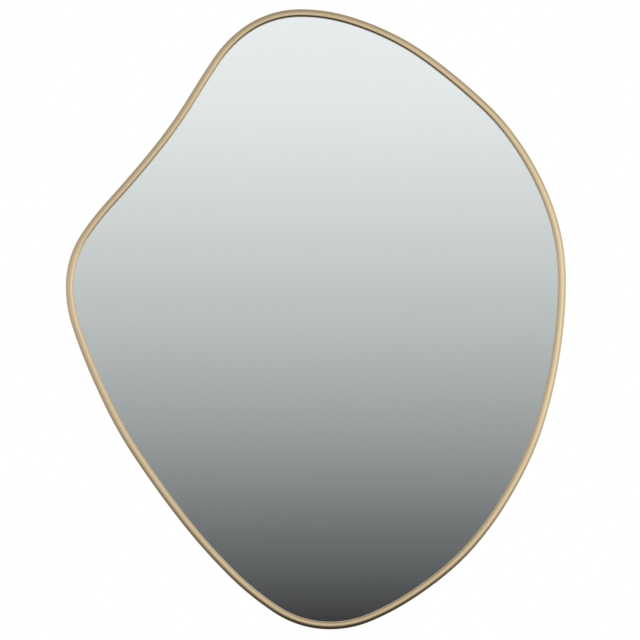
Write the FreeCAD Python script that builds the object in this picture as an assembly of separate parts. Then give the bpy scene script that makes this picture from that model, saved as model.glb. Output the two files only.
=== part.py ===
import FreeCAD, Part
import math
import os

# Wall mirror with an irregular pebble outline in a slim metal frame.
# Millimetres. X runs to the right as the user sees the mirror, Z up and Y towards the wall.
# The origin lies on the wall plane, at the middle of the overall width and height.

# The outline, measured over the outside of the frame.
OVERALL_WIDTH = 645.0
OVERALL_HEIGHT = 800.0
# Stations of the outline, anticlockwise as the user sees it, starting at the frame's butt joint.
# Each is x and z as shares of the half width and half height, then the direction of travel
# in degrees, read where width and height are drawn equally long. Two tangent arcs join each pair.
OUTLINE_STATIONS = [
    (0.778, 0.613, 134.0),
    (0.574, 0.775, 146.0),
    (0.322, 0.916, 157.5),
    (-0.062, 1.0, 180.0),
    (-0.295, 0.938, 211.0),
    (-0.502, 0.725, 233.0),
    (-0.825, 0.390, 221.5),
    (-0.937, 0.276, 230.5),
    (-1.0, 0.105, 270.0),
    (-0.923, -0.136, 297.0),
    (-0.730, -0.440, 309.5),
    (-0.353, -0.823, 321.0),
    (0.056, -1.0, 360.0),
    (0.372, -0.910, 387.0),
    (0.645, -0.725, 403.5),
    (0.847, -0.470, 419.0),
    (0.955, -0.205, 435.0),
    (1.0, 0.125, 450.0),
    (0.955, 0.350, 473.0),
]

# Frame: one strip with a half-round front bead and a flat side wall.
BEAD_WIDTH = 10.0
METAL_THICKNESS = 1.5
BUTT_JOINT_GAP = 0.2
SPLICE_LENGTH = 60.0
SPLICE_THICKNESS = 1.2
SPLICE_END_GAP = 0.5

# Layers inside the frame, front to back.
GLASS_THICKNESS = 4.0
GLASS_EDGE_GAP = 0.5
TAPE_THICKNESS = 1.0
TAPE_WIDTH = 40.0
TAPE_COUNT = 5
TAPE_END_MARGIN = 115.0
TAPE_SIDE_MARGIN = 30.0
BOARD_THICKNESS = 9.0
BOARD_EDGE_GAP = 1.0
REAR_RECESS = 6.0

# Retaining tabs that hold the board in the frame.
TAB_COUNT = 8
TAB_WIDTH = 22.0
TAB_FOOT = 16.0
TAB_THICKNESS = 1.5
TAB_RIM_GAP = 1.0

# Wood screws for the tabs and the hangers.
SCREW_DIAMETER = 3.5
SCREW_HEAD_DIAMETER = 7.0
SCREW_HEAD_HEIGHT = 2.0
SCREW_TIP_LENGTH = 2.0
SCREW_FLOOR = 2.5
SCREW_PILOT_GAP = 0.05
SCREW_PLATE_GAP = 0.35
RECESS_LENGTH = 3.6
RECESS_WIDTH = 0.8
RECESS_DEPTH = 1.1

# Hanger straps with D-rings.
HANGER_SPACING = 300.0
HANGER_BELOW_TOP = 220.0
STRAP_WIDTH = 16.0
STRAP_LENGTH = 44.0
STRAP_THICKNESS = 1.2
STRAP_CORNER = 5.0
CURL_ANGLE = 300.0
FIRST_SCREW_DROP = 9.5
SECOND_SCREW_DROP = 35.0
RING_WIRE = 3.0
RING_INNER_WIDTH = 21.0
RING_LEG = 9.0
RING_BEND = 3.0
RING_CLEARANCE = 0.08

# Wall bumpers on the board.
BUMPER_COUNT = 4
BUMPER_BASE = 13.0
BUMPER_FACE = 11.0
BUMPER_PROUD = 1.0
BUMPER_EDGE = 0.8
BUMPER_INSET = 34.0

# Levels along Y, from the wall forwards.
RIM_Y = -BUMPER_PROUD
BOARD_REAR_Y = RIM_Y - REAR_RECESS
BOARD_FRONT_Y = BOARD_REAR_Y - BOARD_THICKNESS
GLASS_REAR_Y = BOARD_FRONT_Y - TAPE_THICKNESS
GLASS_FRONT_Y = GLASS_REAR_Y - GLASS_THICKNESS

TO_WALL = FreeCAD.Vector(0, 1, 0)
TO_FRONT = FreeCAD.Vector(0, -1, 0)
TO_RIGHT = FreeCAD.Vector(1, 0, 0)


class Arc:
    """One arc of the outline. The radius is negative where the outline is hollow."""

    def __init__(self, x, z, heading, radius, sweep):
        self.x = x
        self.z = z
        self.heading = heading
        self.radius = radius
        self.sweep = sweep

    def length(self):
        return self.radius * self.sweep

    def at(self, distance, inset):
        """The point at a distance along the arc, moved inwards, and the heading there."""
        turn = distance / self.radius
        heading = self.heading + turn
        centre_x = self.x - self.radius * math.sin(self.heading)
        centre_z = self.z + self.radius * math.cos(self.heading)
        reach = self.radius - inset
        x = centre_x + reach * math.sin(heading)
        z = centre_z - reach * math.cos(heading)
        return x, z, heading

    def stretch(self, start, end):
        """The piece of this arc between two distances along it."""
        x, z, heading = self.at(start, 0)
        return Arc(x, z, heading, self.radius, (end - start) / self.radius)


def arc_between(x, z, heading, end_x, end_z):
    """The arc that leaves a point along a heading and reaches another point."""
    chord = math.hypot(end_x - x, end_z - z)
    half_sweep = math.remainder(math.atan2(end_z - z, end_x - x) - heading, 2 * math.pi)
    nearly_straight = 1e-5
    if abs(half_sweep) < nearly_straight:
        half_sweep = nearly_straight
    return Arc(x, z, heading, chord / (2 * math.sin(half_sweep)), 2 * half_sweep)


def joining_arcs(start, end):
    """Two arcs, tangent to each other, between two points with set headings."""
    x, z, heading = start
    end_x, end_z, end_heading = end
    across = end_x - x
    up = end_z - z
    cos_sum = math.cos(heading) + math.cos(end_heading)
    sin_sum = math.sin(heading) + math.sin(end_heading)
    spread = 2 - 2 * math.cos(end_heading - heading)
    along = across * cos_sum + up * sin_sum
    square = across * across + up * up
    reach = square / (along + math.sqrt(along * along + spread * square))
    reach_cos = reach * (math.cos(heading) - math.cos(end_heading))
    reach_sin = reach * (math.sin(heading) - math.sin(end_heading))
    middle_x = (x + end_x + reach_cos) / 2
    middle_z = (z + end_z + reach_sin) / 2
    first = arc_between(x, z, heading, middle_x, middle_z)
    second = arc_between(middle_x, middle_z, heading + first.sweep, end_x, end_z)
    return [first, second]


def outline_arcs():
    """The closed chain of arcs round the outside of the frame, from the butt joint."""
    half_width = OVERALL_WIDTH / 2
    half_height = OVERALL_HEIGHT / 2
    stations = []
    for x_share, z_share, degrees in OUTLINE_STATIONS:
        run = half_width * math.cos(math.radians(degrees))
        rise = half_height * math.sin(math.radians(degrees))
        heading = math.atan2(rise, run)
        stations.append((x_share * half_width, z_share * half_height, heading))
    arcs = []
    for start, end in zip(stations, stations[1:] + stations[:1]):
        arcs += joining_arcs(start, end)
    return arcs


ARCS = outline_arcs()
PERIMETER = sum(arc.length() for arc in ARCS)


def walk(start, end):
    """The arcs between two distances along the outline from the butt joint."""
    pieces = []
    for lap_start in (-PERIMETER, 0.0):
        passed = lap_start
        for arc in ARCS:
            low = max(start, passed)
            high = min(end, passed + arc.length())
            if high - low > 0.001:
                pieces.append(arc.stretch(low - passed, high - passed))
            passed += arc.length()
    return pieces


def place(distance, inset):
    """The point at a distance along the outline, moved inwards."""
    passed = 0.0
    for arc in ARCS:
        if distance <= passed + arc.length():
            break
        passed += arc.length()
    return arc.at(distance - passed, inset)


def inset_face(inset, y):
    """The flat face inside the outline, moved inwards all round."""
    edges = []
    for arc in ARCS:
        points = []
        for share in (0.0, 0.5, 1.0):
            x, z, heading = arc.at(share * arc.length(), inset)
            points.append(FreeCAD.Vector(x, y, z))
        edges.append(Part.Arc(*points).toShape())
    return Part.Face(Part.Wire(edges))


def chord(face, z, y):
    """The left and right ends of a flat face at one height."""
    line = Part.makeLine(
        FreeCAD.Vector(-OVERALL_WIDTH, y, z),
        FreeCAD.Vector(OVERALL_WIDTH, y, z),
    )
    box = line.common(face).BoundBox
    return box.XMin, box.XMax


def section_face(arc, edges_at):
    """A face across the frame at the start of an arc, from (inset, y) lines and bends."""
    across = FreeCAD.Vector(-math.sin(arc.heading), 0, math.cos(arc.heading))
    foot = FreeCAD.Vector(arc.x, 0, arc.z)
    edges = []
    for points in edges_at:
        spots = [foot + across * inset + TO_WALL * y for inset, y in points]
        if len(spots) == 3:
            edges.append(Part.Arc(*spots).toShape())
        else:
            edges.append(Part.makeLine(*spots))
    return Part.Face(Part.Wire(edges))


def run_section(arcs, edges_at):
    """A solid with one section that follows the arcs."""
    solids = []
    for arc in arcs:
        across = FreeCAD.Vector(-math.sin(arc.heading), 0, math.cos(arc.heading))
        centre = FreeCAD.Vector(arc.x, 0, arc.z) + across * arc.radius
        face = section_face(arc, edges_at)
        solids.append(face.revolve(centre, TO_FRONT, math.degrees(arc.sweep)))
    if len(solids) == 1:
        return solids[0]
    return solids[0].multiFuse(solids[1:]).removeSplitter()


def closed_lines(corners):
    """The straight edges of a closed section through its corners."""
    return list(zip(corners, corners[1:] + corners[:1]))


def across_joint(thickness, y, depth):
    """A thin block square across the frame strip at its butt joint."""
    x, z, heading = place(0.0, 0)
    block = Part.makeBox(
        thickness,
        depth,
        BEAD_WIDTH + 2 * METAL_THICKNESS,
        FreeCAD.Vector(-thickness / 2, y, -METAL_THICKNESS),
    )
    block.rotate(FreeCAD.Vector(0, 0, 0), TO_FRONT, math.degrees(heading))
    block.translate(FreeCAD.Vector(x, 0, z))
    return block


def frame_band():
    """The bent strip: half-round bead in front, thin side wall back to the rim."""
    bead = BEAD_WIDTH / 2
    hollow = bead - METAL_THICKNESS
    outer_top = bead * math.sqrt(0.5)
    inner_top = hollow * math.sqrt(0.5)
    section = [
        [(0.0, RIM_Y), (0.0, GLASS_FRONT_Y)],
        [
            (0.0, GLASS_FRONT_Y),
            (bead - outer_top, GLASS_FRONT_Y - outer_top),
            (bead, GLASS_FRONT_Y - bead),
        ],
        [
            (bead, GLASS_FRONT_Y - bead),
            (bead + outer_top, GLASS_FRONT_Y - outer_top),
            (BEAD_WIDTH, GLASS_FRONT_Y),
        ],
        [(BEAD_WIDTH, GLASS_FRONT_Y), (BEAD_WIDTH - METAL_THICKNESS, GLASS_FRONT_Y)],
        [
            (BEAD_WIDTH - METAL_THICKNESS, GLASS_FRONT_Y),
            (bead + inner_top, GLASS_FRONT_Y - inner_top),
            (bead, GLASS_FRONT_Y - hollow),
        ],
        [
            (bead, GLASS_FRONT_Y - hollow),
            (bead - inner_top, GLASS_FRONT_Y - inner_top),
            (METAL_THICKNESS, GLASS_FRONT_Y),
        ],
        [(METAL_THICKNESS, GLASS_FRONT_Y), (METAL_THICKNESS, RIM_Y)],
        [(METAL_THICKNESS, RIM_Y), (0.0, RIM_Y)],
    ]
    band = run_section(ARCS, section)
    front_y = GLASS_FRONT_Y - BEAD_WIDTH
    return band.cut(across_joint(BUTT_JOINT_GAP, front_y, -front_y))


def frame_splice():
    """The flat bar bonded inside the side wall across the butt joint."""
    outer = METAL_THICKNESS
    inner = METAL_THICKNESS + SPLICE_THICKNESS
    front_y = BOARD_REAR_Y + SPLICE_END_GAP
    rear_y = RIM_Y - SPLICE_END_GAP
    corners = [(outer, front_y), (inner, front_y), (inner, rear_y), (outer, rear_y)]
    return run_section(walk(-SPLICE_LENGTH / 2, SPLICE_LENGTH / 2), closed_lines(corners))


def mirror_glass():
    """The silvered glass, a little smaller than the inside of the side wall."""
    face = inset_face(METAL_THICKNESS + GLASS_EDGE_GAP, GLASS_FRONT_Y)
    return face.extrude(TO_WALL * GLASS_THICKNESS)


def tape_strips():
    """Level strips of foam tape between the glass and the board."""
    limit = inset_face(METAL_THICKNESS + TAPE_SIDE_MARGIN, GLASS_REAR_Y)
    top = OVERALL_HEIGHT / 2 - TAPE_END_MARGIN
    strips = []
    for index in range(TAPE_COUNT):
        middle = top - index * 2 * top / (TAPE_COUNT - 1)
        upper = chord(limit, middle + TAPE_WIDTH / 2, GLASS_REAR_Y)
        lower = chord(limit, middle - TAPE_WIDTH / 2, GLASS_REAR_Y)
        left = max(upper[0], lower[0])
        right = min(upper[1], lower[1])
        corner = FreeCAD.Vector(left, GLASS_REAR_Y, middle - TAPE_WIDTH / 2)
        strips.append(Part.makeBox(right - left, TAPE_THICKNESS, TAPE_WIDTH, corner))
    return strips


def screw_hole(x, z, radius, rear_y, depth):
    """A round hole drilled forwards from a rear face."""
    return Part.makeCylinder(radius, depth, FreeCAD.Vector(x, rear_y, z), TO_FRONT)


def wood_screw(x, z, plate_rear_y):
    """A pan-head screw with its head on a plate and its point in the board."""
    radius = SCREW_DIAMETER / 2
    point_y = BOARD_FRONT_Y + SCREW_FLOOR
    shank_length = plate_rear_y - point_y - SCREW_TIP_LENGTH
    seat = FreeCAD.Vector(x, plate_rear_y, z)
    shank = Part.makeCylinder(radius, shank_length, seat, TO_FRONT)
    tip_base = FreeCAD.Vector(x, plate_rear_y - shank_length, z)
    tip = Part.makeCone(radius, radius / 4, SCREW_TIP_LENGTH, tip_base, TO_FRONT)
    head = Part.makeCylinder(SCREW_HEAD_DIAMETER / 2, SCREW_HEAD_HEIGHT, seat, TO_WALL)
    crown = [edge for edge in head.Edges if edge.BoundBox.YMin > plate_rear_y + 0.001]
    head = head.makeFillet(SCREW_HEAD_HEIGHT / 2, crown)
    slot_y = plate_rear_y + SCREW_HEAD_HEIGHT - RECESS_DEPTH
    for across, up in ((RECESS_LENGTH, RECESS_WIDTH), (RECESS_WIDTH, RECESS_LENGTH)):
        corner = FreeCAD.Vector(x - across / 2, slot_y, z - up / 2)
        head = head.cut(Part.makeBox(across, 2 * RECESS_DEPTH, up, corner))
    return shank.fuse([tip, head])


def tab_middles():
    """How far along the outline each tab stands, evenly spaced and clear of the joint."""
    return [(index + 0.5) * PERIMETER / TAB_COUNT for index in range(TAB_COUNT)]


def tab_screw_inset():
    """How far in from the outline the tab screws stand, in the middle of the free foot."""
    return METAL_THICKNESS + (TAB_THICKNESS + TAB_FOOT) / 2


def retaining_tab(middle):
    """An angle piece: one leg on the side wall, one foot on the back of the board."""
    wall = METAL_THICKNESS
    foot_rear_y = BOARD_REAR_Y + TAB_THICKNESS
    leg_rear_y = RIM_Y - TAB_RIM_GAP
    corners = [
        (wall, BOARD_REAR_Y),
        (wall + TAB_FOOT, BOARD_REAR_Y),
        (wall + TAB_FOOT, foot_rear_y),
        (wall + TAB_THICKNESS, foot_rear_y),
        (wall + TAB_THICKNESS, leg_rear_y),
        (wall, leg_rear_y),
    ]
    arcs = walk(middle - TAB_WIDTH / 2, middle + TAB_WIDTH / 2)
    tab = run_section(arcs, closed_lines(corners))
    x, z, heading = place(middle, tab_screw_inset())
    radius = SCREW_DIAMETER / 2 + SCREW_PLATE_GAP
    return tab.cut(screw_hole(x, z, radius, foot_rear_y, TAB_THICKNESS))


def hanger_middles():
    """The two hanger positions, either side of the board's centre of mass."""
    board_middle = inset_face(METAL_THICKNESS, BOARD_REAR_Y).CenterOfMass.x
    return [board_middle - HANGER_SPACING / 2, board_middle + HANGER_SPACING / 2]


def hanger_axis_height():
    return OVERALL_HEIGHT / 2 - HANGER_BELOW_TOP


def ring_axis_y():
    """How the ring's straight bar lies in the curl of its strap."""
    return BOARD_REAR_Y + STRAP_THICKNESS + RING_CLEARANCE + RING_WIRE / 2


def hanger_strap(x):
    """A plate screwed to the board, with its upper end curled round the ring's bar."""
    axis_z = hanger_axis_height()
    corner = FreeCAD.Vector(x - STRAP_WIDTH / 2, BOARD_REAR_Y, axis_z - STRAP_LENGTH)
    plate = Part.makeBox(STRAP_WIDTH, STRAP_THICKNESS, STRAP_LENGTH, corner)
    foot_edges = []
    for edge in plate.Edges:
        box = edge.BoundBox
        if box.ZMax < axis_z - STRAP_LENGTH + 0.001 and box.XLength < 0.001:
            foot_edges.append(edge)
    plate = plate.makeFillet(STRAP_CORNER, foot_edges)
    leaf_end = Part.makePlane(
        STRAP_THICKNESS,
        STRAP_WIDTH,
        FreeCAD.Vector(x - STRAP_WIDTH / 2, BOARD_REAR_Y, axis_z),
        FreeCAD.Vector(0, 0, 1),
        TO_WALL,
    )
    leaf_end.translate(FreeCAD.Vector(x - leaf_end.CenterOfMass.x, 0, 0))
    curl_centre = FreeCAD.Vector(x, ring_axis_y(), axis_z)
    curl = leaf_end.revolve(curl_centre, TO_RIGHT * -1, CURL_ANGLE)
    strap = plate.fuse(curl)
    radius = SCREW_DIAMETER / 2 + SCREW_PLATE_GAP
    for drop in (FIRST_SCREW_DROP, SECOND_SCREW_DROP):
        hole = screw_hole(x, axis_z - drop, radius, BOARD_REAR_Y + STRAP_THICKNESS, STRAP_THICKNESS)
        strap = strap.cut(hole)
    return strap


def d_ring(x):
    """A wire ring with a straight bar on top, hanging down from the strap's curl."""
    y = ring_axis_y()
    top = hanger_axis_height()
    half = (RING_INNER_WIDTH + RING_WIRE) / 2
    bend = RING_BEND
    short = bend * (1 - math.sqrt(0.5))
    leg_end = top - bend - RING_LEG

    def spot(across, z):
        return FreeCAD.Vector(x + across, y, z)

    path = [
        Part.makeLine(spot(bend - half, top), spot(half - bend, top)),
        Part.Arc(
            spot(half - bend, top),
            spot(half - short, top - short),
            spot(half, top - bend),
        ).toShape(),
        Part.makeLine(spot(half, top - bend), spot(half, leg_end)),
        Part.Arc(spot(half, leg_end), spot(0, leg_end - half), spot(-half, leg_end)).toShape(),
        Part.makeLine(spot(-half, leg_end), spot(-half, top - bend)),
        Part.Arc(
            spot(-half, top - bend),
            spot(short - half, top - short),
            spot(bend - half, top),
        ).toShape(),
    ]
    wire = Part.makeCircle(RING_WIRE / 2, spot(bend - half, top), TO_RIGHT)
    pipe = Part.Wire(path).makePipeShell([Part.Wire(wire)], True, False)
    return pipe


def wall_bumper(middle):
    """A round rubber foot on the board that stands a little proud of the rim."""
    x, z, heading = place(middle, BUMPER_INSET)
    height = REAR_RECESS + BUMPER_PROUD
    base = FreeCAD.Vector(x, BOARD_REAR_Y, z)
    foot = Part.makeCone(BUMPER_BASE / 2, BUMPER_FACE / 2, height, base, TO_WALL)
    rim = [edge for edge in foot.Edges if edge.BoundBox.YMin > BOARD_REAR_Y + height - 0.001]
    return foot.makeFillet(BUMPER_EDGE, rim)


def back_board(screw_spots):
    """The wood-fibre board behind the glass, with a pilot hole for every screw."""
    face = inset_face(METAL_THICKNESS + BOARD_EDGE_GAP, BOARD_FRONT_Y)
    board = face.extrude(TO_WALL * BOARD_THICKNESS)
    radius = SCREW_DIAMETER / 2 + SCREW_PILOT_GAP
    depth = BOARD_THICKNESS - SCREW_FLOOR
    holes = [screw_hole(x, z, radius, BOARD_REAR_Y, depth) for x, z in screw_spots]
    return board.cut(holes)


def tab_screw_spots():
    spots = []
    for middle in tab_middles():
        x, z, heading = place(middle, tab_screw_inset())
        spots.append((x, z))
    return spots


def hanger_screw_spots():
    spots = []
    for x in hanger_middles():
        for drop in (FIRST_SCREW_DROP, SECOND_SCREW_DROP):
            spots.append((x, hanger_axis_height() - drop))
    return spots


def screw_group(spots, plate_thickness):
    plate_rear_y = BOARD_REAR_Y + plate_thickness
    return Part.makeCompound([wood_screw(x, z, plate_rear_y) for x, z in spots])


def build_parts():
    """Every node of the mirror by name."""
    parts = {
        "frame_band": frame_band(),
        "frame_splice": frame_splice(),
        "mirror_glass": mirror_glass(),
        "back_board": back_board(tab_screw_spots() + hanger_screw_spots()),
        "tab_screws": screw_group(tab_screw_spots(), TAB_THICKNESS),
        "hanger_screws": screw_group(hanger_screw_spots(), STRAP_THICKNESS),
    }
    for number, strip in enumerate(tape_strips(), 1):
        parts[f"foam_tape_{number}"] = strip
    for number, middle in enumerate(tab_middles(), 1):
        parts[f"retaining_tab_{number}"] = retaining_tab(middle)
    for side, x in zip(("left", "right"), hanger_middles()):
        parts[f"hanger_strap_{side}"] = hanger_strap(x)
        parts[f"d_ring_{side}"] = d_ring(x)
    for index in range(BUMPER_COUNT):
        parts[f"wall_bumper_{index + 1}"] = wall_bumper(index * PERIMETER / BUMPER_COUNT)
    return parts


os.makedirs("parts", exist_ok=True)
for name, shape in build_parts().items():
    shape.exportStep(f"parts/{name}.step")
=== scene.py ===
import cmath
import math

import bmesh
import bpy
from bpy.props import FloatProperty, FloatVectorProperty, PointerProperty
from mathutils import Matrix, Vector


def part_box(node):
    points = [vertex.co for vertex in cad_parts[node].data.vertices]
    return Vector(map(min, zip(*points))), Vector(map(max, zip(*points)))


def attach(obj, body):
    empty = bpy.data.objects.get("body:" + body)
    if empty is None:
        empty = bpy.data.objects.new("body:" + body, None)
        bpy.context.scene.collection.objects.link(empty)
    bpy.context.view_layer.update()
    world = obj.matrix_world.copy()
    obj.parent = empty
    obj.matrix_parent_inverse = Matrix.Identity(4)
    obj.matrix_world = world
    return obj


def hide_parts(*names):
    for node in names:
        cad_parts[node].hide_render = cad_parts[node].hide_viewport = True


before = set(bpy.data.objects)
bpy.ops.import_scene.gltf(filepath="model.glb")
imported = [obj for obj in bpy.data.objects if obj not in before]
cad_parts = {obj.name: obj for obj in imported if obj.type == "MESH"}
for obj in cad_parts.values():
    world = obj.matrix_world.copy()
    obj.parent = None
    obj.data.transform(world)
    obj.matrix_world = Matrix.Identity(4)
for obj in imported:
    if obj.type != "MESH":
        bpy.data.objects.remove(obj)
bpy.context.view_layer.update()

bl_info = {
    "name": "Pebble wall mirror",
    "version": (1, 0, 0),
    "blender": (4, 5, 0),
    "location": "3D View > Sidebar > Mirror",
    "description": "Dresses the pebble-outline wall mirror and sets it in a pale studio",
    "category": "Object",
}


def from_hex(text):
    """A colour written as six hex digits, in the linear values that the shaders use."""
    parts = [int(text[place:place + 2], 16) / 255 for place in (0, 2, 4)]
    linear = [part / 12.92 if part <= 0.04045 else ((part + 0.055) / 1.055) ** 2.4 for part in parts]
    return (*linear, 1.0)


def colour(name, description, text):
    """A colour property with its default written in hex."""
    return FloatVectorProperty(
        name=name, description=description, subtype="COLOR", size=4, min=0, max=1, default=from_hex(text)
    )


def length(name, description, metres):
    """A length property with its default in metres."""
    return FloatProperty(name=name, description=description, unit="LENGTH", min=0, default=metres)


def power(name, description, watts):
    """A lamp's power property with its default in watts."""
    return FloatProperty(name=name, description=description, unit="POWER", default=watts)


def share(name, description, value):
    """A property that runs from 0 to 1."""
    return FloatProperty(
        name=name, description=description, subtype="FACTOR", min=0, max=1, default=value
    )


class FrameFinish(bpy.types.PropertyGroup):
    """The look of the metal band round the pane."""

    gold: colour("Champagne", "Colour of the anodised band", "F2DAB2")
    rough: share("Roughness", "How satin the band is", 0.14)
    mill: colour("Bare metal", "Colour of the splice bar inside the band", "C9CACC")


class PaneFinish(bpy.types.PropertyGroup):
    """The look of the mirror pane."""

    glass: colour("Glass", "Colour of the float glass", "FCFDFD")
    silver: colour("Silver", "Colour that the silvering reflects", "F8F9F9")
    paint: colour("Backing paint", "Colour of the paint behind the silver", "6B6F74")


class BackFinish(bpy.types.PropertyGroup):
    """The look of the pieces behind the pane."""

    board: colour("Board", "Colour of the raw fibreboard", "B08F68")
    fibre: colour("Fibres", "Colour of the darker fibres in the board", "7E6040")
    foam: colour("Foam", "Colour of the foam tape", "E6E5E0")
    zinc: colour("Zinc", "Colour of the plated tabs and straps", "C7C8C9")
    screw: colour("Screws", "Colour of the plated screws", "CDCDCB")
    wire: colour("Wire", "Colour of the plated ring wire", "D3D4D6")
    rubber: colour("Rubber", "Colour of the wall bumpers", "2A2A2C")


class Studio(bpy.types.PropertyGroup):
    """Where the camera and floor stand, and how strong the lamps are."""

    distance: length("Camera distance", "From the camera to the pane", 8.0)
    aside: length("Camera aside", "How far right of the middle the camera stands", 0.0054)
    drop: length("Camera drop", "How far below the middle the camera stands", 0.0009)
    width: length("View width", "Width of the view at the pane", 0.8254)
    floor_drop: length("Floor drop", "From the middle of the mirror down to the floor", 1.4)
    floor_radius: length("Floor radius", "Where the floor has faded out", 3.4)
    key: power("Key", "Power of the main lamp and of the left lamp behind", 54.0)
    fill: power("Fill", "Power of the other lamps", 27.0)


# Node building ----------------------------------------------------------------------------------

# Where a Mix node for colours keeps its factor, its two colours and its result.
MIX_FACTOR, MIX_FIRST, MIX_SECOND, MIX_RESULT = 0, 6, 7, 2
# A noise node's values lie mostly between these two, so they are read as its ends.
NOISE_LOW, NOISE_HIGH = 0.3, 0.7


def feed(tree, node, values):
    """Sets a node's inputs, by name or number, or links them where the value is a socket."""
    for name, value in values.items():
        if isinstance(value, bpy.types.NodeSocket):
            tree.links.new(value, node.inputs[name])
        else:
            node.inputs[name].default_value = value


def add(tree, kind, values=None, **settings):
    """A node with its own settings and its inputs fed."""
    made = tree.nodes.new(kind)
    for name, value in settings.items():
        setattr(made, name, value)
    feed(tree, made, values or {})
    return made


def math_node(tree, operation, *values, clamp=False):
    """The result of one Math node."""
    numbered = dict(enumerate(values))
    return add(tree, "ShaderNodeMath", numbered, operation=operation, use_clamp=clamp).outputs[0]


def times(tree, first, second):
    """One value times another."""
    return math_node(tree, "MULTIPLY", first, second)


def scaled(tree, vector, factor):
    """A vector or colour times a factor."""
    return add(tree, "ShaderNodeVectorMath", {0: vector, "Scale": factor}, operation="SCALE").outputs[0]


def spread(tree, value, low, high, to_low=0.0, to_high=1.0, shape="SMOOTHSTEP"):
    """A value read between two limits and laid out between two others."""
    values = {"Value": value, "From Min": low, "From Max": high, "To Min": to_low, "To Max": to_high}
    return add(tree, "ShaderNodeMapRange", values, interpolation_type=shape).outputs[0]


def mix(tree, factor, first, second):
    """A blend of two colours."""
    values = {MIX_FACTOR: factor, MIX_FIRST: first, MIX_SECOND: second}
    return add(tree, "ShaderNodeMix", values, data_type="RGBA").outputs[MIX_RESULT]


def object_place(tree):
    """Where each point lies in its piece's own space, in metres."""
    return add(tree, "ShaderNodeTexCoord").outputs["Object"]


def even_noise(tree, per_metre, detail):
    """Noise read in object space, with the same repeats per metre along every axis."""
    place = scaled(tree, object_place(tree), per_metre)
    values = {"Vector": place, "Scale": 1.0, "Detail": detail}
    return add(tree, "ShaderNodeTexNoise", values).outputs["Fac"]


def stretched_noise(tree, place, stretch, detail=3.0):
    """Noise stretched by its repeats per metre along each axis of a place."""
    mapped = add(tree, "ShaderNodeMapping", {"Vector": place, "Scale": stretch}).outputs[0]
    values = {"Vector": mapped, "Scale": 1.0, "Detail": detail, "Roughness": 0.6}
    return add(tree, "ShaderNodeTexNoise", values).outputs["Fac"]


def group(name, inputs, outputs, build):
    """A shader node group with named sockets, made once."""
    made = bpy.data.node_groups.get(name)
    if made:
        return made
    made = bpy.data.node_groups.new(name, "ShaderNodeTree")
    for label, kind, default in inputs:
        socket = made.interface.new_socket(label, in_out="INPUT", socket_type=kind)
        socket.default_value = default
    for label, kind in outputs:
        made.interface.new_socket(label, in_out="OUTPUT", socket_type=kind)
    entry = made.nodes.new("NodeGroupInput")
    leave = made.nodes.new("NodeGroupOutput")
    build(made, entry.outputs, leave)
    return made


def placed(tree, made, values):
    """A group placed in a material with its own values."""
    return add(tree, "ShaderNodeGroup", values, node_tree=made).outputs


def new_material(name, **plain):
    """A material with its Principled BSDF, and the constants that go on its own sockets."""
    made = bpy.data.materials.new(name)
    made.use_nodes = True
    tree = made.node_tree
    shader = tree.nodes["Principled BSDF"]
    feed(tree, shader, {label.replace("_", " "): value for label, value in plain.items()})
    return made, tree, shader


def bump(tree, height, strength, distance):
    """The normal of a surface that is raised by a height."""
    values = {"Height": height, "Strength": strength, "Distance": distance}
    return add(tree, "ShaderNodeBump", values).outputs[0]


# Effects that more than one material uses -------------------------------------------------------

# Repeats per metre along X, Y and Z.
WEAR_BREAKS = (260.0, 260.0, 260.0)
SMEARS = (9.0, 30.0, 14.0)
SPECKS = (900.0, 900.0, 900.0)


def colour_drift():
    """A slow change of tone over the surface, from one batch, hand or sheet to the next."""

    def build(tree, given, out):
        broad = even_noise(tree, given["Per metre"], detail=4.0)
        swing = spread(tree, broad, NOISE_LOW, NOISE_HIGH, to_low=-1.0)
        gain = math_node(tree, "MULTIPLY_ADD", swing, given["Amount"], 1.0)
        feed(tree, out, {"Colour": scaled(tree, given["Colour"], gain)})

    inputs = [
        ("Colour", "NodeSocketColor", (0.8, 0.8, 0.8, 1)),
        ("Per metre", "NodeSocketFloat", 10.0),
        ("Amount", "NodeSocketFloat", 0.05),
    ]
    return group("colour_drift", inputs, [("Colour", "NodeSocketColor")], build)


def drifting(tree, base, per_metre, amount):
    """A base colour with the slow change of tone laid over it."""
    values = {"Colour": base, "Per metre": per_metre, "Amount": amount}
    return placed(tree, colour_drift(), values)["Colour"]


def fine_grain():
    """Close-set grain, as on blasted, plated or moulded surfaces, for roughness and height."""

    def build(tree, given, out):
        grain = even_noise(tree, given["Per metre"], detail=2.0)
        limits = NOISE_LOW, NOISE_HIGH, given["Low"], given["High"]
        rough = spread(tree, grain, *limits, shape="LINEAR")
        feed(tree, out, {"Roughness": rough, "Height": grain})

    inputs = [
        ("Per metre", "NodeSocketFloat", 2000.0),
        ("Low", "NodeSocketFloat", 0.25),
        ("High", "NodeSocketFloat", 0.35),
    ]
    outputs = [("Roughness", "NodeSocketFloat"), ("Height", "NodeSocketFloat")]
    return group("fine_grain", inputs, outputs, build)


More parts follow.
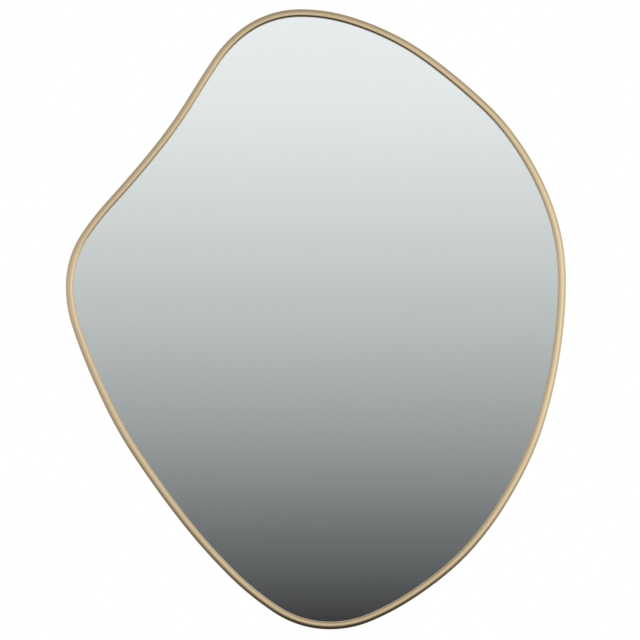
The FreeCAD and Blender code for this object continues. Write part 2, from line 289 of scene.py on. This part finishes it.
def edge_wear():
    """A mask that is bright along outside edges, broken up by noise."""

    def build(tree, given, out):
        soft = add(tree, "ShaderNodeBevel", {"Radius": given["Width"]}, samples=4).outputs[0]
        sharp = add(tree, "ShaderNodeNewGeometry").outputs["Normal"]
        along = add(tree, "ShaderNodeVectorMath", {0: soft, 1: sharp}, operation="DOT_PRODUCT")
        turned = math_node(tree, "SUBTRACT", 1.0, along.outputs["Value"])
        near = spread(tree, turned, 0.01, 0.12)
        broken = stretched_noise(tree, object_place(tree), WEAR_BREAKS)
        patchy = spread(tree, broken, 0.35, 0.6, to_low=0.25)
        feed(tree, out, {"Mask": times(tree, times(tree, near, patchy), given["Amount"])})

    inputs = [("Width", "NodeSocketFloat", 0.0006), ("Amount", "NodeSocketFloat", 0.5)]
    return group("edge_wear", inputs, [("Mask", "NodeSocketFloat")], build)


def handling_film():
    """Faint smears and settled dust that dull a surface a little in patches."""

    def build(tree, given, out):
        place = object_place(tree)
        smears = stretched_noise(tree, place, SMEARS, detail=5.0)
        specks = stretched_noise(tree, place, SPECKS, detail=1.0)
        patch = spread(tree, smears, 0.48, 0.72)
        dots = spread(tree, specks, 0.68, 0.76, to_high=0.6)
        both = math_node(tree, "MAXIMUM", patch, dots)
        feed(tree, out, {"Mask": times(tree, both, given["Amount"])})

    inputs = [("Amount", "NodeSocketFloat", 0.1)]
    return group("handling_film", inputs, [("Mask", "NodeSocketFloat")], build)


# Pieces -----------------------------------------------------------------------------------------


def dress(names, material):
    """The named CAD nodes take one material in their own slots."""
    for name in names:
        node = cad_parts.get(name)
        if node is None:
            raise RuntimeError(f"the model has no node {name}")
        for slot in node.material_slots:
            slot.material = material


def nodes_called(start):
    """The CAD nodes whose names start with a word."""
    found = sorted(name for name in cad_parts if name.startswith(start))
    if not found:
        raise RuntimeError(f"the model has no node called {start}")
    return found


def mesh_from(name, made):
    """The mesh that a finished bmesh turns into."""
    mesh = bpy.data.meshes.new(name)
    made.to_mesh(mesh)
    made.free()
    return mesh


def in_scene(name, data):
    """A new object of the scene, for a mesh, a lamp or a camera."""
    made = bpy.data.objects.new(name, data)
    bpy.context.scene.collection.objects.link(made)
    return made


# The band and the silver ------------------------------------------------------------------------

# The outline anticlockwise from the butt joint: x and z as shares of the half width and height,
# and the heading in degrees as read where width and height are drawn equally long.
STATIONS = (
    (0.778, 0.613, 134.0),
    (0.574, 0.775, 146.0),
    (0.322, 0.916, 157.5),
    (-0.062, 1.0, 180.0),
    (-0.295, 0.938, 211.0),
    (-0.502, 0.725, 233.0),
    (-0.825, 0.390, 221.5),
    (-0.937, 0.276, 230.5),
    (-1.0, 0.105, 270.0),
    (-0.923, -0.136, 297.0),
    (-0.730, -0.440, 309.5),
    (-0.353, -0.823, 321.0),
    (0.056, -1.0, 360.0),
    (0.372, -0.910, 387.0),
    (0.645, -0.725, 403.5),
    (0.847, -0.470, 419.0),
    (0.955, -0.205, 435.0),
    (1.0, 0.125, 450.0),
    (0.955, 0.350, 473.0),
)
# The band's wall thickness, how far its crest leans towards the pane, the gap between its ends
# and the rounding of its rim.
METAL = 0.0015
CREST_LEAN = 0.0012
JOINT_GAP = 0.0002
RIM_ROUNDING = 0.0003
# How finely the band is drawn: turn and length of a step along it, and steps round its section.
FINE_TURN = math.radians(2)
FINE_STEP = 0.006
BEAD_STEPS = 32
HOLLOW_STEPS = 16
ROUNDING_STEPS = 4
# Edges that turn by more than this stay sharp.
SHARP_TURN = math.radians(40)
# How far the silver stays inside the edge of the pane, and how far its two faces lie in front of
# the pane's back.
SILVER_INSET = 0.00005
SILVER_DEPTHS = (0.00012, 0.00002)


def bend(start, heading, end):
    """The radius and turn of the bend that leaves a point along a heading and reaches another."""
    run = end - start
    half_turn = cmath.phase(run / heading)
    return abs(run) / (2 * math.sin(half_turn)), 2 * half_turn


def bend_points(start, heading, end):
    """Close-set points along one bend, each with its heading and its distance from the start.

    The heading at the bend's end and its length come with them.
    """
    radius, turn = bend(start, heading, end)
    steps = math.ceil(max(abs(turn) / FINE_TURN, abs(radius * turn) / FINE_STEP))
    points = []
    for step in range(steps):
        angle = turn * step / steps
        swing = cmath.exp(1j * angle)
        point = start + 1j * heading * radius * (1 - swing)
        points.append((point, heading * swing, radius * angle))
    return points, heading * cmath.exp(1j * turn), radius * turn


def outline():
    """Points round the outside of the band, closed: complex x and z, heading, distance walked."""
    low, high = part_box("frame_band")
    half_width = (high[0] - low[0]) / 2
    half_height = (high[2] - low[2]) / 2
    stations = []
    for x_share, z_share, degrees in STATIONS:
        turn = math.radians(degrees)
        heading = complex(half_width * math.cos(turn), half_height * math.sin(turn))
        stations.append((complex(x_share * half_width, z_share * half_height), heading / abs(heading)))
    walked = 0.0
    path = []
    for (start, leaving), (end, arriving) in zip(stations, stations[1:] + stations[:1]):
        # The two bends meet halfway between a point ahead of the first station and one behind
        # the second, each the same reach away along the heading there.
        run = end - start
        along = (run * (leaving + arriving).conjugate()).real
        opening = 2 - 2 * (leaving * arriving.conjugate()).real
        reach = abs(run) ** 2 / (along + math.sqrt(along**2 + opening * abs(run) ** 2))
        middle = (start + end + reach * (leaving - arriving)) / 2
        heading = leaving
        for here, there in ((start, middle), (middle, end)):
            points, heading, bend_length = bend_points(here, heading, there)
            path += [(point, facing, walked + gone) for point, facing, gone in points]
            walked += bend_length
    path.append((*stations[0], walked))
    return path


def inwards(point, heading, distance):
    """A point of the outline moved in, square to the outline."""
    return point + 1j * heading * distance


def rounded(corner, towards, away):
    """Points of the small quarter round at a square corner of the rim, between two directions."""
    points = []
    for step in range(ROUNDING_STEPS + 1):
        angle = math.pi / 2 * step / ROUNDING_STEPS
        back = RIM_ROUNDING * (1 - math.sin(angle))
        on = RIM_ROUNDING * (1 - math.cos(angle))
        x = corner[0] - towards[0] * back + away[0] * on
        y = corner[1] - towards[1] * back + away[1] * on
        points.append((x, y))
    return points


def band_section():
    """The section of the band, each point as its distance in from the outline and its place in Y."""
    low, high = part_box("frame_band")
    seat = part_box("mirror_glass")[0][1]
    rim = high[1]
    bead = seat - low[1]
    hollow = bead - METAL
    points = []
    for step in range(BEAD_STEPS + 1):
        turn = math.pi * step / BEAD_STEPS
        lean = CREST_LEAN * math.sin(turn) ** 2
        points.append((bead - bead * math.cos(turn) + lean, seat - bead * math.sin(turn)))
    inner = [math.pi * step / HOLLOW_STEPS for step in range(HOLLOW_STEPS + 1)]
    points += [(bead + hollow * math.cos(turn), seat - hollow * math.sin(turn)) for turn in inner]
    points += rounded((METAL, rim), (0, 1), (-1, 0))
    points += rounded((0.0, rim), (-1, 0), (0, -1))
    return points


def sweep(name, path, section):
    """A strip with one section along the path and closed ends, with its own strip coordinates."""
    made = bmesh.new()
    strip = made.loops.layers.uv.new("strip")
    rows = []
    for point, heading, _ in path:
        spots = [(inwards(point, heading, inset), y) for inset, y in section]
        rows.append([made.verts.new((spot.real, y, spot.imag)) for spot, y in spots])
    round_section = [0.0]
    for before, after in zip(section, section[1:] + section[:1]):
        round_section.append(round_section[-1] + math.dist(before, after))
    count = len(section)
    for place in range(len(rows) - 1):
        here, there = rows[place], rows[place + 1]
        for side in range(count):
            after = (side + 1) % count
            face = made.faces.new((here[side], here[after], there[after], there[side]))
            spots = ((place, side), (place, side + 1), (place + 1, side + 1), (place + 1, side))
            for loop, (row, column) in zip(face.loops, spots):
                loop[strip].uv = (path[row][2], round_section[column])
    ends = [made.faces.new(rows[0]), made.faces.new(rows[-1])]
    bmesh.ops.triangulate(made, faces=ends)
    bmesh.ops.recalc_face_normals(made, faces=made.faces)
    for face in made.faces:
        face.smooth = True
    mesh = mesh_from(name, made)
    mesh.set_sharp_from_angle(angle=SHARP_TURN)
    piece = in_scene(name, mesh)
    piece.modifiers.new("even_normals", "WEIGHTED_NORMAL").keep_sharp = True
    return piece


def bent_band():
    """The band as one bent strip: half-round bead in front, side wall back to the rim."""
    path = outline()
    half_gap = JOINT_GAP / 2
    first, last = path[0], path[-1]
    path[0] = (first[0] + first[1] * half_gap, first[1], half_gap)
    path[-1] = (last[0] - last[1] * half_gap, last[1], last[2] - half_gap)
    band = sweep("bent_band", path, band_section())
    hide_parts("frame_band")
    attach(band, "mirror")
    return band


def silver_coat():
    """The silver behind the glass, a thin even sheet just inside the back of the pane."""
    low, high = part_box("mirror_glass")
    inset = low[0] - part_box("frame_band")[0][0] + SILVER_INSET
    spots = [inwards(point, heading, inset) for point, heading, _ in outline()[:-1]]
    made = bmesh.new()
    sheets = []
    for depth in SILVER_DEPTHS:
        sheets.append([made.verts.new((spot.real, high[1] - depth, spot.imag)) for spot in spots])
    front, rear = sheets
    made.faces.new(front)
    made.faces.new(rear)
    for place in range(len(front)):
        made.faces.new((front[place - 1], front[place], rear[place], rear[place - 1]))
    bmesh.ops.recalc_face_normals(made, faces=made.faces)
    coat = in_scene("silver_coat", mesh_from("silver_coat", made))
    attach(coat, "mirror")
    return coat


# Finishes ---------------------------------------------------------------------------------------

# Repeats per metre: along and across the strip for the band, along X, Y and Z for the rest.
STRIP_LINES = (14.0, 3200.0, 1.0)
DRAWN_LINES = (20.0, 3000.0, 20.0)
BOARD_FIBRES = (420.0, 420.0, 300.0)
BOARD_STRANDS = (60.0, 900.0, 900.0)
BOARD_FLECKS = (1300.0, 1300.0, 700.0)
BOARD_SANDING = (2.5, 200.0, 420.0)
FOAM_CELLS = 2200.0
PLATE_CRYSTALS = 420.0
# Colours that wear, flecks, cut edges, the painted shade in the hollows of foam cells, crystals and dust
# bring in.
WORN_GOLD = from_hex("F3E6CC")
PALE_FLECK = from_hex("D9C29C")
CUT_BOARD = from_hex("6E5338")
PAINTED_CELL_SHADE = from_hex("B9B7AE")
DARK_CRYSTAL = from_hex("9C9E9F")
WORN_PLATE = from_hex("ECEDEE")
RUBBER_DUST = from_hex("6A6863")
# How far the band's roughness swings with its grain and with its lines, and how much its grain
# counts for in its height, against the lines.
SATIN_SWING = 0.03
LINE_SWING = 0.03
GRAIN_HEIGHT = 0.3
# How much each pattern of the board colours it, and how much its sanding counts for in its height.
FIBRE_SHARE = 0.45
STRAND_SHARE = 0.35
FLECK_SHARE = 0.5
CUT_SHARE = 0.45
SANDING_HEIGHT = 0.6
# How much the crystals of the plating colour it and roughen it, and how its grain does.
CRYSTAL_SHARE = 0.16
CRYSTAL_ROUGH = 0.06
PLATE_SMOOTHER = 0.06
PLATE_ROUGHER = 0.08
# A normal with less than this of its length along Y belongs to a side and not to a face.
SIDEWAYS = 0.5


def champagne_metal(finish):
    """Anodised aluminium: satin, with faint lines along the strip and paler edges."""
    made, tree, shader = new_material("champagne_metal", Metallic=1.0)
    strip = add(tree, "ShaderNodeUVMap", uv_map="strip").outputs[0]
    tone = drifting(tree, finish.gold, per_metre=7.0, amount=0.025)
    lines = stretched_noise(tree, strip, STRIP_LINES)
    worn = placed(tree, edge_wear(), {"Width": 0.0003, "Amount": 0.25})["Mask"]
    toned = mix(tree, worn, tone, WORN_GOLD)
    limits = {"Low": finish.rough - SATIN_SWING, "High": finish.rough + SATIN_SWING}
    grain = placed(tree, fine_grain(), {"Per metre": 1600.0, **limits})
    film = placed(tree, handling_film(), {"Amount": 0.06})["Mask"]
    lined = times(tree, spread(tree, lines, 0.35, 0.65, to_low=-1.0), LINE_SWING)
    satin = math_node(tree, "ADD", grain["Roughness"], lined)
    rough = math_node(tree, "ADD", satin, film, clamp=True)
    height = math_node(tree, "ADD", times(tree, grain["Height"], GRAIN_HEIGHT), lines)
    normal = bump(tree, height, strength=0.025, distance=0.0002)
    feed(tree, shader, {"Base Color": toned, "Roughness": rough, "Normal": normal})
    return made


def bare_metal(finish):
    """Mill-finish aluminium with drawn lines."""
    made, tree, shader = new_material("bare_metal", Metallic=1.0)
    place = object_place(tree)
    tone = drifting(tree, finish.mill, per_metre=60.0, amount=0.06)
    lines = stretched_noise(tree, place, DRAWN_LINES)
    rough = spread(tree, lines, NOISE_LOW, NOISE_HIGH, to_low=0.3, to_high=0.48)
    normal = bump(tree, lines, strength=0.15, distance=0.0002)
    feed(tree, shader, {"Base Color": tone, "Roughness": rough, "Normal": normal})
    return made


def clear_glass(finish):
    """Float glass: almost clear, a little green, with the faintest smears on its face."""
    made, tree, shader = new_material("clear_glass", IOR=1.52, Metallic=0.0, Transmission_Weight=1.0)
    tone = drifting(tree, finish.glass, per_metre=2.0, amount=0.003)
    film = placed(tree, handling_film(), {"Amount": 0.012})["Mask"]
    feed(tree, shader, {"Base Color": tone, "Roughness": film})
    return made


def silvering(finish):
    """Bright silver towards the glass, grey protective paint behind."""
    made, tree, shader = new_material("silvering")
    facing = add(tree, "ShaderNodeTexCoord").outputs["Normal"]
    depth = add(tree, "ShaderNodeSeparateXYZ", {0: facing}).outputs["Y"]
    front = math_node(tree, "LESS_THAN", depth, 0.0)
    silver = drifting(tree, finish.silver, per_metre=2.0, amount=0.003)
    tone = mix(tree, front, finish.paint, silver)
    rough = spread(tree, front, 0.0, 1.0, to_low=0.5, to_high=0.003)
    feed(tree, shader, {"Base Color": tone, "Metallic": front, "Roughness": rough})
    return made


def fibreboard(finish):
    """Raw board: packed fibres with paler flecks, faint sanding lines, darker cut edge."""
    made, tree, shader = new_material("fibreboard", Specular_IOR_Level=0.25)
    coords = add(tree, "ShaderNodeTexCoord").outputs
    place = coords["Object"]
    fibres = stretched_noise(tree, place, BOARD_FIBRES, detail=5.0)
    strands = stretched_noise(tree, place, BOARD_STRANDS, detail=4.0)
    flecks = stretched_noise(tree, place, BOARD_FLECKS, detail=2.0)
    sanding = stretched_noise(tree, place, BOARD_SANDING, detail=2.0)
    tone = drifting(tree, finish.board, per_metre=5.0, amount=0.04)
    packed = times(tree, spread(tree, fibres, 0.45, 0.72), FIBRE_SHARE)
    stranded = times(tree, spread(tree, strands, 0.5, 0.75), STRAND_SHARE)
    based = mix(tree, math_node(tree, "MAXIMUM", packed, stranded), tone, finish.fibre)
    pale = times(tree, spread(tree, flecks, 0.62, 0.74), FLECK_SHARE)
    lit = mix(tree, pale, based, PALE_FLECK)
    facing = add(tree, "ShaderNodeSeparateXYZ", {0: coords["Normal"]}).outputs["Y"]
    side = math_node(tree, "LESS_THAN", math_node(tree, "ABSOLUTE", facing), SIDEWAYS)
    toned = mix(tree, times(tree, side, CUT_SHARE), lit, CUT_BOARD)
    rough = spread(tree, sanding, NOISE_LOW, NOISE_HIGH, to_low=0.62, to_high=0.82)
    height = math_node(tree, "ADD", fibres, times(tree, sanding, SANDING_HEIGHT))
    normal = bump(tree, height, strength=0.25, distance=0.0003)
    feed(tree, shader, {"Base Color": toned, "Roughness": rough, "Normal": normal})
    return made


def foam(finish):
    """Closed-cell foam: fine round cells with painted shade in their hollows, and a dull surface."""
    made, tree, shader = new_material("foam", Roughness=0.9, Subsurface_Weight=0.05)
    place = object_place(tree)
    scale = {"Vector": place, "Scale": FOAM_CELLS}
    cells = add(tree, "ShaderNodeTexVoronoi", scale).outputs["Distance"]
    tone = drifting(tree, finish.foam, per_metre=30.0, amount=0.04)
    # The middle of each cell, where the bump sinks, is painted darker as shade.
    toned = mix(tree, spread(tree, cells, 0.0, 0.6, to_low=0.25, to_high=0.0), tone, PAINTED_CELL_SHADE)
    normal = bump(tree, cells, strength=0.4, distance=0.0002)
    feed(tree, shader, {"Base Color": toned, "Normal": normal})
    return made


def plated_steel(name, base, rough, per_metre):
    """Zinc or nickel plate: pale grey metal with a soft mottle and brighter edges."""
    made, tree, shader = new_material(name, Metallic=1.0)
    place = object_place(tree)
    tone = drifting(tree, base, per_metre, amount=0.09)
    scale = {"Vector": place, "Scale": PLATE_CRYSTALS}
    crystals = add(tree, "ShaderNodeTexVoronoi", scale).outputs["Color"]
    grey = add(tree, "ShaderNodeSeparateColor", {0: crystals}).outputs[0]
    mottled = mix(tree, times(tree, grey, CRYSTAL_SHARE), tone, DARK_CRYSTAL)
    worn = placed(tree, edge_wear(), {"Width": 0.0004, "Amount": 0.5})["Mask"]
    toned = mix(tree, worn, mottled, WORN_PLATE)
    limits = {"Low": rough - PLATE_SMOOTHER, "High": rough + PLATE_ROUGHER}
    grain = placed(tree, fine_grain(), {"Per metre": 900.0, **limits})
    film = placed(tree, handling_film(), {"Amount": 0.12})["Mask"]
    blotched = times(tree, grey, CRYSTAL_ROUGH)
    dulled = math_node(tree, "ADD", grain["Roughness"], film)
    total = math_node(tree, "ADD", dulled, blotched, clamp=True)
    normal = bump(tree, grain["Height"], strength=0.12, distance=0.0002)
    feed(tree, shader, {"Base Color": toned, "Roughness": total, "Normal": normal})
    return made


def moulded_rubber(finish):
    """Black rubber with a fine moulded grain and pale dust in patches."""
    made, tree, shader = new_material("moulded_rubber", Specular_IOR_Level=0.35)
    tone = drifting(tree, finish.rubber, per_metre=140.0, amount=0.12)
    film = placed(tree, handling_film(), {"Amount": 0.3})["Mask"]
    toned = mix(tree, film, tone, RUBBER_DUST)
    grain = placed(tree, fine_grain(), {"Per metre": 2600.0, "Low": 0.55, "High": 0.72})
    normal = bump(tree, grain["Height"], strength=0.3, distance=0.0003)
    feed(tree, shader, {"Base Color": toned, "Roughness": grain["Roughness"], "Normal": normal})
    return made


# Stage ------------------------------------------------------------------------------------------

# What polished surfaces and glass see of the room: degrees above the horizon, and the colour there.
ROOM_HEIGHTS = (
    (-90, "565452"),
    (-76, "3E3D3B"),
    (-62, "3C3B39"),
    (-48, "5E5C5A"),
    (-34, "969592"),
    (-22, "C0BFBE"),
    (-10, "CFCECE"),
    (0, "D2D2D2"),
    (12, "CECECE"),
    (24, "C4C4C3"),
    (46, "B0B0AF"),
    (70, "A2A2A1"),
    (90, "9C9C9B"),
)
# A window of it straight in front of the mirror, which the flat pane shows as its soft grading.
ROOM_AHEAD = (
    (-3, "202020"),
    (-2, "717374"),
    (-1, "A0A3A4"),
    (0, "C0C4C4"),
    (1, "D8DCDC"),
    (2, "EBEEEE"),
    (3, "F4F6F6"),
)
# Where the window gives way to the room: from and to how many degrees up or down, and how much
# of a direction's length to the left or right.
WINDOW_EDGE = (2.95, 5.0)
WINDOW_SIDE = (0.045, 0.08)
# How bright the room is round the horizon: degrees from straight in front of the mirror towards
# its +X side, and the gain there.
ROOM_SIDES = (
    (-180, 1.4),
    (-150, 1.1),
    (-125, 0.75),
    (-100, 0.85),
    (-70, 0.82),
    (-45, 0.92),
    (-20, 1.06),
    (0, 1.16),
    (20, 1.36),
    (34, 1.52),
    (52, 1.52),
    (64, 1.3),
    (80, 1.14),
    (100, 1.05),
    (125, 0.85),
    (150, 1.1),
    (180, 1.4),
)
BRIGHTEST_SIDE = 1.6
# Between these degrees up or down the sides grow more alike, down to this share.
SIDE_FADE = (12, 60)
SIDE_SHARE = 0.25
# What matt surfaces and the camera see of the room.
SOFT_GREY = (0.6, 0.6, 0.6, 1)
PURE_WHITE = (1, 1, 1, 1)
# The floor's colour and corners, and the share of its radius at which it starts to fade out.
FLOOR_WHITE = from_hex("F2F2F1")
FLOOR_CORNERS = 96
FLOOR_FADE = 0.45
# Each lamp's name, place, size, and the studio setting with its power.
LAMPS = (
    ("key_lamp", (2.0, -3.0, 2.2), 2.2, "key"),
    ("fill_lamp", (-3.0, -2.2, 0.8), 2.4, "fill"),
    ("rear_lamp_left", (-2.2, 2.8, 2.0), 2.2, "key"),
    ("rear_lamp_right", (2.8, 2.4, 0.8), 2.4, "fill"),
)
# Width of the camera's sensor in millimetres, which its focal length is reckoned from.
SENSOR_WIDTH = 36.0


def ramp(tree, value, low, high, levels):
    """Colours laid out between two limits, from pairs of a place and a colour."""
    place = spread(tree, value, low, high, shape="LINEAR")
    made = add(tree, "ShaderNodeValToRGB", {"Fac": place})
    elements = made.color_ramp.elements
    ends = ((elements[0], levels[0]), (elements[1], levels[-1]))
    for element, (spot, shade) in ends:
        element.position = (spot - low) / (high - low)
        element.color = shade
    for spot, shade in levels[1:-1]:
        elements.new((spot - low) / (high - low)).color = shade
    return made.outputs["Color"]


def height_ramp(tree, height, levels):
    """Colours laid out by height, from pairs of degrees and a colour in hex."""
    shades = [(degrees, from_hex(text)) for degrees, text in levels]
    return ramp(tree, height, levels[0][0], levels[-1][0], shades)


def side_gain(tree, axes):
    """How bright the room is at a direction's side, as a plain factor."""
    ahead = times(tree, axes["Y"], -1.0)
    turn = math_node(tree, "ARCTAN2", axes["X"], ahead)
    levels = [
        (math.radians(degrees), (*[gain / BRIGHTEST_SIDE] * 3, 1)) for degrees, gain in ROOM_SIDES
    ]
    return times(tree, ramp(tree, turn, -math.pi, math.pi, levels), BRIGHTEST_SIDE)


def room_light(scene):
    """White behind the object, a soft even light on it, and a graded room in its reflections."""
    world = bpy.data.worlds.new("pale_room")
    world.use_nodes = True
    scene.world = world
    tree = world.node_tree
    direction = add(tree, "ShaderNodeTexCoord").outputs["Generated"]
    axes = add(tree, "ShaderNodeSeparateXYZ", {0: direction}).outputs
    height = times(tree, math_node(tree, "ARCSINE", axes["Z"]), math.degrees(1))
    wide = height_ramp(tree, height, ROOM_HEIGHTS)
    away = math_node(tree, "ABSOLUTE", height)
    sideways = spread(tree, away, *SIDE_FADE, to_low=1.0, to_high=SIDE_SHARE)
    gain = math_node(tree, "POWER", side_gain(tree, axes), sideways)
    room = scaled(tree, wide, gain)
    window = height_ramp(tree, height, ROOM_AHEAD)
    level = spread(tree, away, *WINDOW_EDGE, to_low=1.0, to_high=0.0)
    across = math_node(tree, "ABSOLUTE", axes["X"])
    aside = spread(tree, across, *WINDOW_SIDE, to_low=1.0, to_high=0.0)
    ahead = math_node(tree, "LESS_THAN", axes["Y"], 0.0)
    seen = mix(tree, times(tree, times(tree, level, aside), ahead), room, window)
    path = add(tree, "ShaderNodeLightPath").outputs
    mirrored = math_node(tree, "MAXIMUM", path["Is Glossy Ray"], path["Is Transmission Ray"])
    soft = mix(tree, mirrored, SOFT_GREY, seen)
    shown = mix(tree, path["Is Camera Ray"], soft, PURE_WHITE)
    feed(tree, tree.nodes["Background"], {"Color": shown})


def keep_out_of_reflections(thing):
    """Hides a floor or lamp from polished surfaces and glass."""
    thing.visible_glossy = False
    thing.visible_transmission = False


def pale_floor(studio):
    """A round white floor below the mirror that fades out at its edge."""
    made = bmesh.new()
    bmesh.ops.create_circle(made, cap_ends=True, segments=FLOOR_CORNERS, radius=studio.floor_radius)
    floor = in_scene("floor", mesh_from("floor", made))
    floor.location.z = -studio.floor_drop
    material, tree, shader = new_material("floor_white", Roughness=0.9, Specular_IOR_Level=0.1)
    place = object_place(tree)
    tone = drifting(tree, FLOOR_WHITE, per_metre=1.5, amount=0.006)
    level = add(tree, "ShaderNodeVectorMath", {0: place, 1: (1, 1, 0)}, operation="MULTIPLY")
    away = add(tree, "ShaderNodeVectorMath", {0: level.outputs[0]}, operation="LENGTH")
    fade = studio.floor_radius * FLOOR_FADE, studio.floor_radius
    alpha = spread(tree, away.outputs["Value"], *fade, to_low=1.0, to_high=0.0)
    feed(tree, shader, {"Base Color": tone, "Alpha": alpha})
    floor.data.materials.append(material)
    keep_out_of_reflections(floor)


def soft_lamp(name, place, size, watts):
    """A large square lamp that points at the middle of the mirror."""
    data = bpy.data.lights.new(name, "AREA")
    data.size = size
    data.energy = watts
    lamp = in_scene(name, data)
    lamp.location = place
    lamp.rotation_euler = (-Vector(place)).to_track_quat("-Z", "Y").to_euler()
    keep_out_of_reflections(lamp)


def straight_camera(studio):
    """A camera square to the pane, as far aside as the photograph's framing asks."""
    pane_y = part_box("mirror_glass")[0][1]
    data = bpy.data.cameras.new("camera")
    data.sensor_width = SENSOR_WIDTH
    data.lens = SENSOR_WIDTH * studio.distance / studio.width
    camera = in_scene("camera", data)
    camera.location = (studio.aside, pane_y - studio.distance, -studio.drop)
    camera.rotation_euler = (math.pi / 2, 0, 0)
    bpy.context.scene.camera = camera


# Operators --------------------------------------------------------------------------------------


class FinishFrame(bpy.types.Operator):
    """Finish the champagne band and the splice inside it"""

    bl_idname = "wall_mirror.finish_frame"
    bl_label = "Frame band"

    def execute(self, context):
        finish = context.scene.mirror_frame
        band = bent_band()
        band.data.materials.append(champagne_metal(finish))
        dress(["frame_splice"], bare_metal(finish))
        return {"FINISHED"}


class FinishPane(bpy.types.Operator):
    """Make the pane clear glass and lay the silver with its painted back behind it"""

    bl_idname = "wall_mirror.finish_pane"
    bl_label = "Mirror pane"

    def execute(self, context):
        finish = context.scene.mirror_pane
        dress(["mirror_glass"], clear_glass(finish))
        coat = silver_coat()
        coat.data.materials.append(silvering(finish))
        return {"FINISHED"}


class FinishBoard(bpy.types.Operator):
    """Finish the fibreboard back and the foam tape in front of it"""

    bl_idname = "wall_mirror.finish_board"
    bl_label = "Back board and tape"

    def execute(self, context):
        finish = context.scene.mirror_back
        dress(["back_board"], fibreboard(finish))
        dress(nodes_called("foam_tape"), foam(finish))
        return {"FINISHED"}


class FinishTabs(bpy.types.Operator):
    """Finish the retaining tabs and every screw"""

    bl_idname = "wall_mirror.finish_tabs"
    bl_label = "Tabs and screws"

    def execute(self, context):
        finish = context.scene.mirror_back
        tabs = plated_steel("plated_tab", finish.zinc, rough=0.36, per_metre=35.0)
        dress(nodes_called("retaining_tab"), tabs)
        screws = plated_steel("plated_screw", finish.screw, rough=0.28, per_metre=200.0)
        dress(["tab_screws", "hanger_screws"], screws)
        return {"FINISHED"}


class FinishHangers(bpy.types.Operator):
    """Finish the hanger straps and the rings that swing in them"""

    bl_idname = "wall_mirror.finish_hangers"
    bl_label = "Hangers"

    def execute(self, context):
        finish = context.scene.mirror_back
        straps = plated_steel("plated_strap", finish.zinc, rough=0.32, per_metre=60.0)
        dress(nodes_called("hanger_strap"), straps)
        rings = plated_steel("plated_wire", finish.wire, rough=0.2, per_metre=120.0)
        dress(nodes_called("d_ring"), rings)
        return {"FINISHED"}


class FinishBumpers(bpy.types.Operator):
    """Finish the rubber wall bumpers"""

    bl_idname = "wall_mirror.finish_bumpers"
    bl_label = "Wall bumpers"

    def execute(self, context):
        dress(nodes_called("wall_bumper"), moulded_rubber(context.scene.mirror_back))
        return {"FINISHED"}


class SetStage(bpy.types.Operator):
    """Set the pale room, its floor, its lamps and the camera"""

    bl_idname = "wall_mirror.set_stage"
    bl_label = "Stage"

    def execute(self, context):
        studio = context.scene.mirror_studio
        room_light(context.scene)
        pale_floor(studio)
        for name, place, size, setting in LAMPS:
            soft_lamp(name, place, size, getattr(studio, setting))
        straight_camera(studio)
        context.scene.view_settings.view_transform = "Standard"
        return {"FINISHED"}


OPERATORS = (
    FinishFrame,
    FinishPane,
    FinishBoard,
    FinishTabs,
    FinishHangers,
    FinishBumpers,
    SetStage,
)
# Each group of settings by its name in the scene.
SETTINGS = {
    "mirror_frame": FrameFinish,
    "mirror_pane": PaneFinish,
    "mirror_back": BackFinish,
    "mirror_studio": Studio,
}


class MirrorPanel(bpy.types.Panel):
    """The settings of the mirror, and the steps that dress it, in order"""

    bl_idname = "VIEW3D_PT_wall_mirror"
    bl_label = "Wall mirror"
    bl_space_type = "VIEW_3D"
    bl_region_type = "UI"
    bl_category = "Mirror"

    def draw(self, context):
        for settings in SETTINGS:
            box = self.layout.box()
            owner = getattr(context.scene, settings)
            for name in owner.bl_rna.properties.keys():
                if name not in ("rna_type", "name"):
                    box.prop(owner, name)
        for step in OPERATORS:
            self.layout.operator(step.bl_idname)


CLASSES = (*SETTINGS.values(), *OPERATORS, MirrorPanel)


def register():
    """Registers the settings, the operators and the panel."""
    for kind in CLASSES:
        bpy.utils.register_class(kind)
    for name, kind in SETTINGS.items():
        setattr(bpy.types.Scene, name, PointerProperty(type=kind))


def unregister():
    """Takes back what register did."""
    for name in SETTINGS:
        delattr(bpy.types.Scene, name)
    for kind in reversed(CLASSES):
        bpy.utils.unregister_class(kind)


def main():
    """Dresses the mirror step by step."""
    register()
    for step in OPERATORS:
        area, name = step.bl_idname.split(".")
        getattr(getattr(bpy.ops, area), name)()


if __name__ == "__main__":
    main()
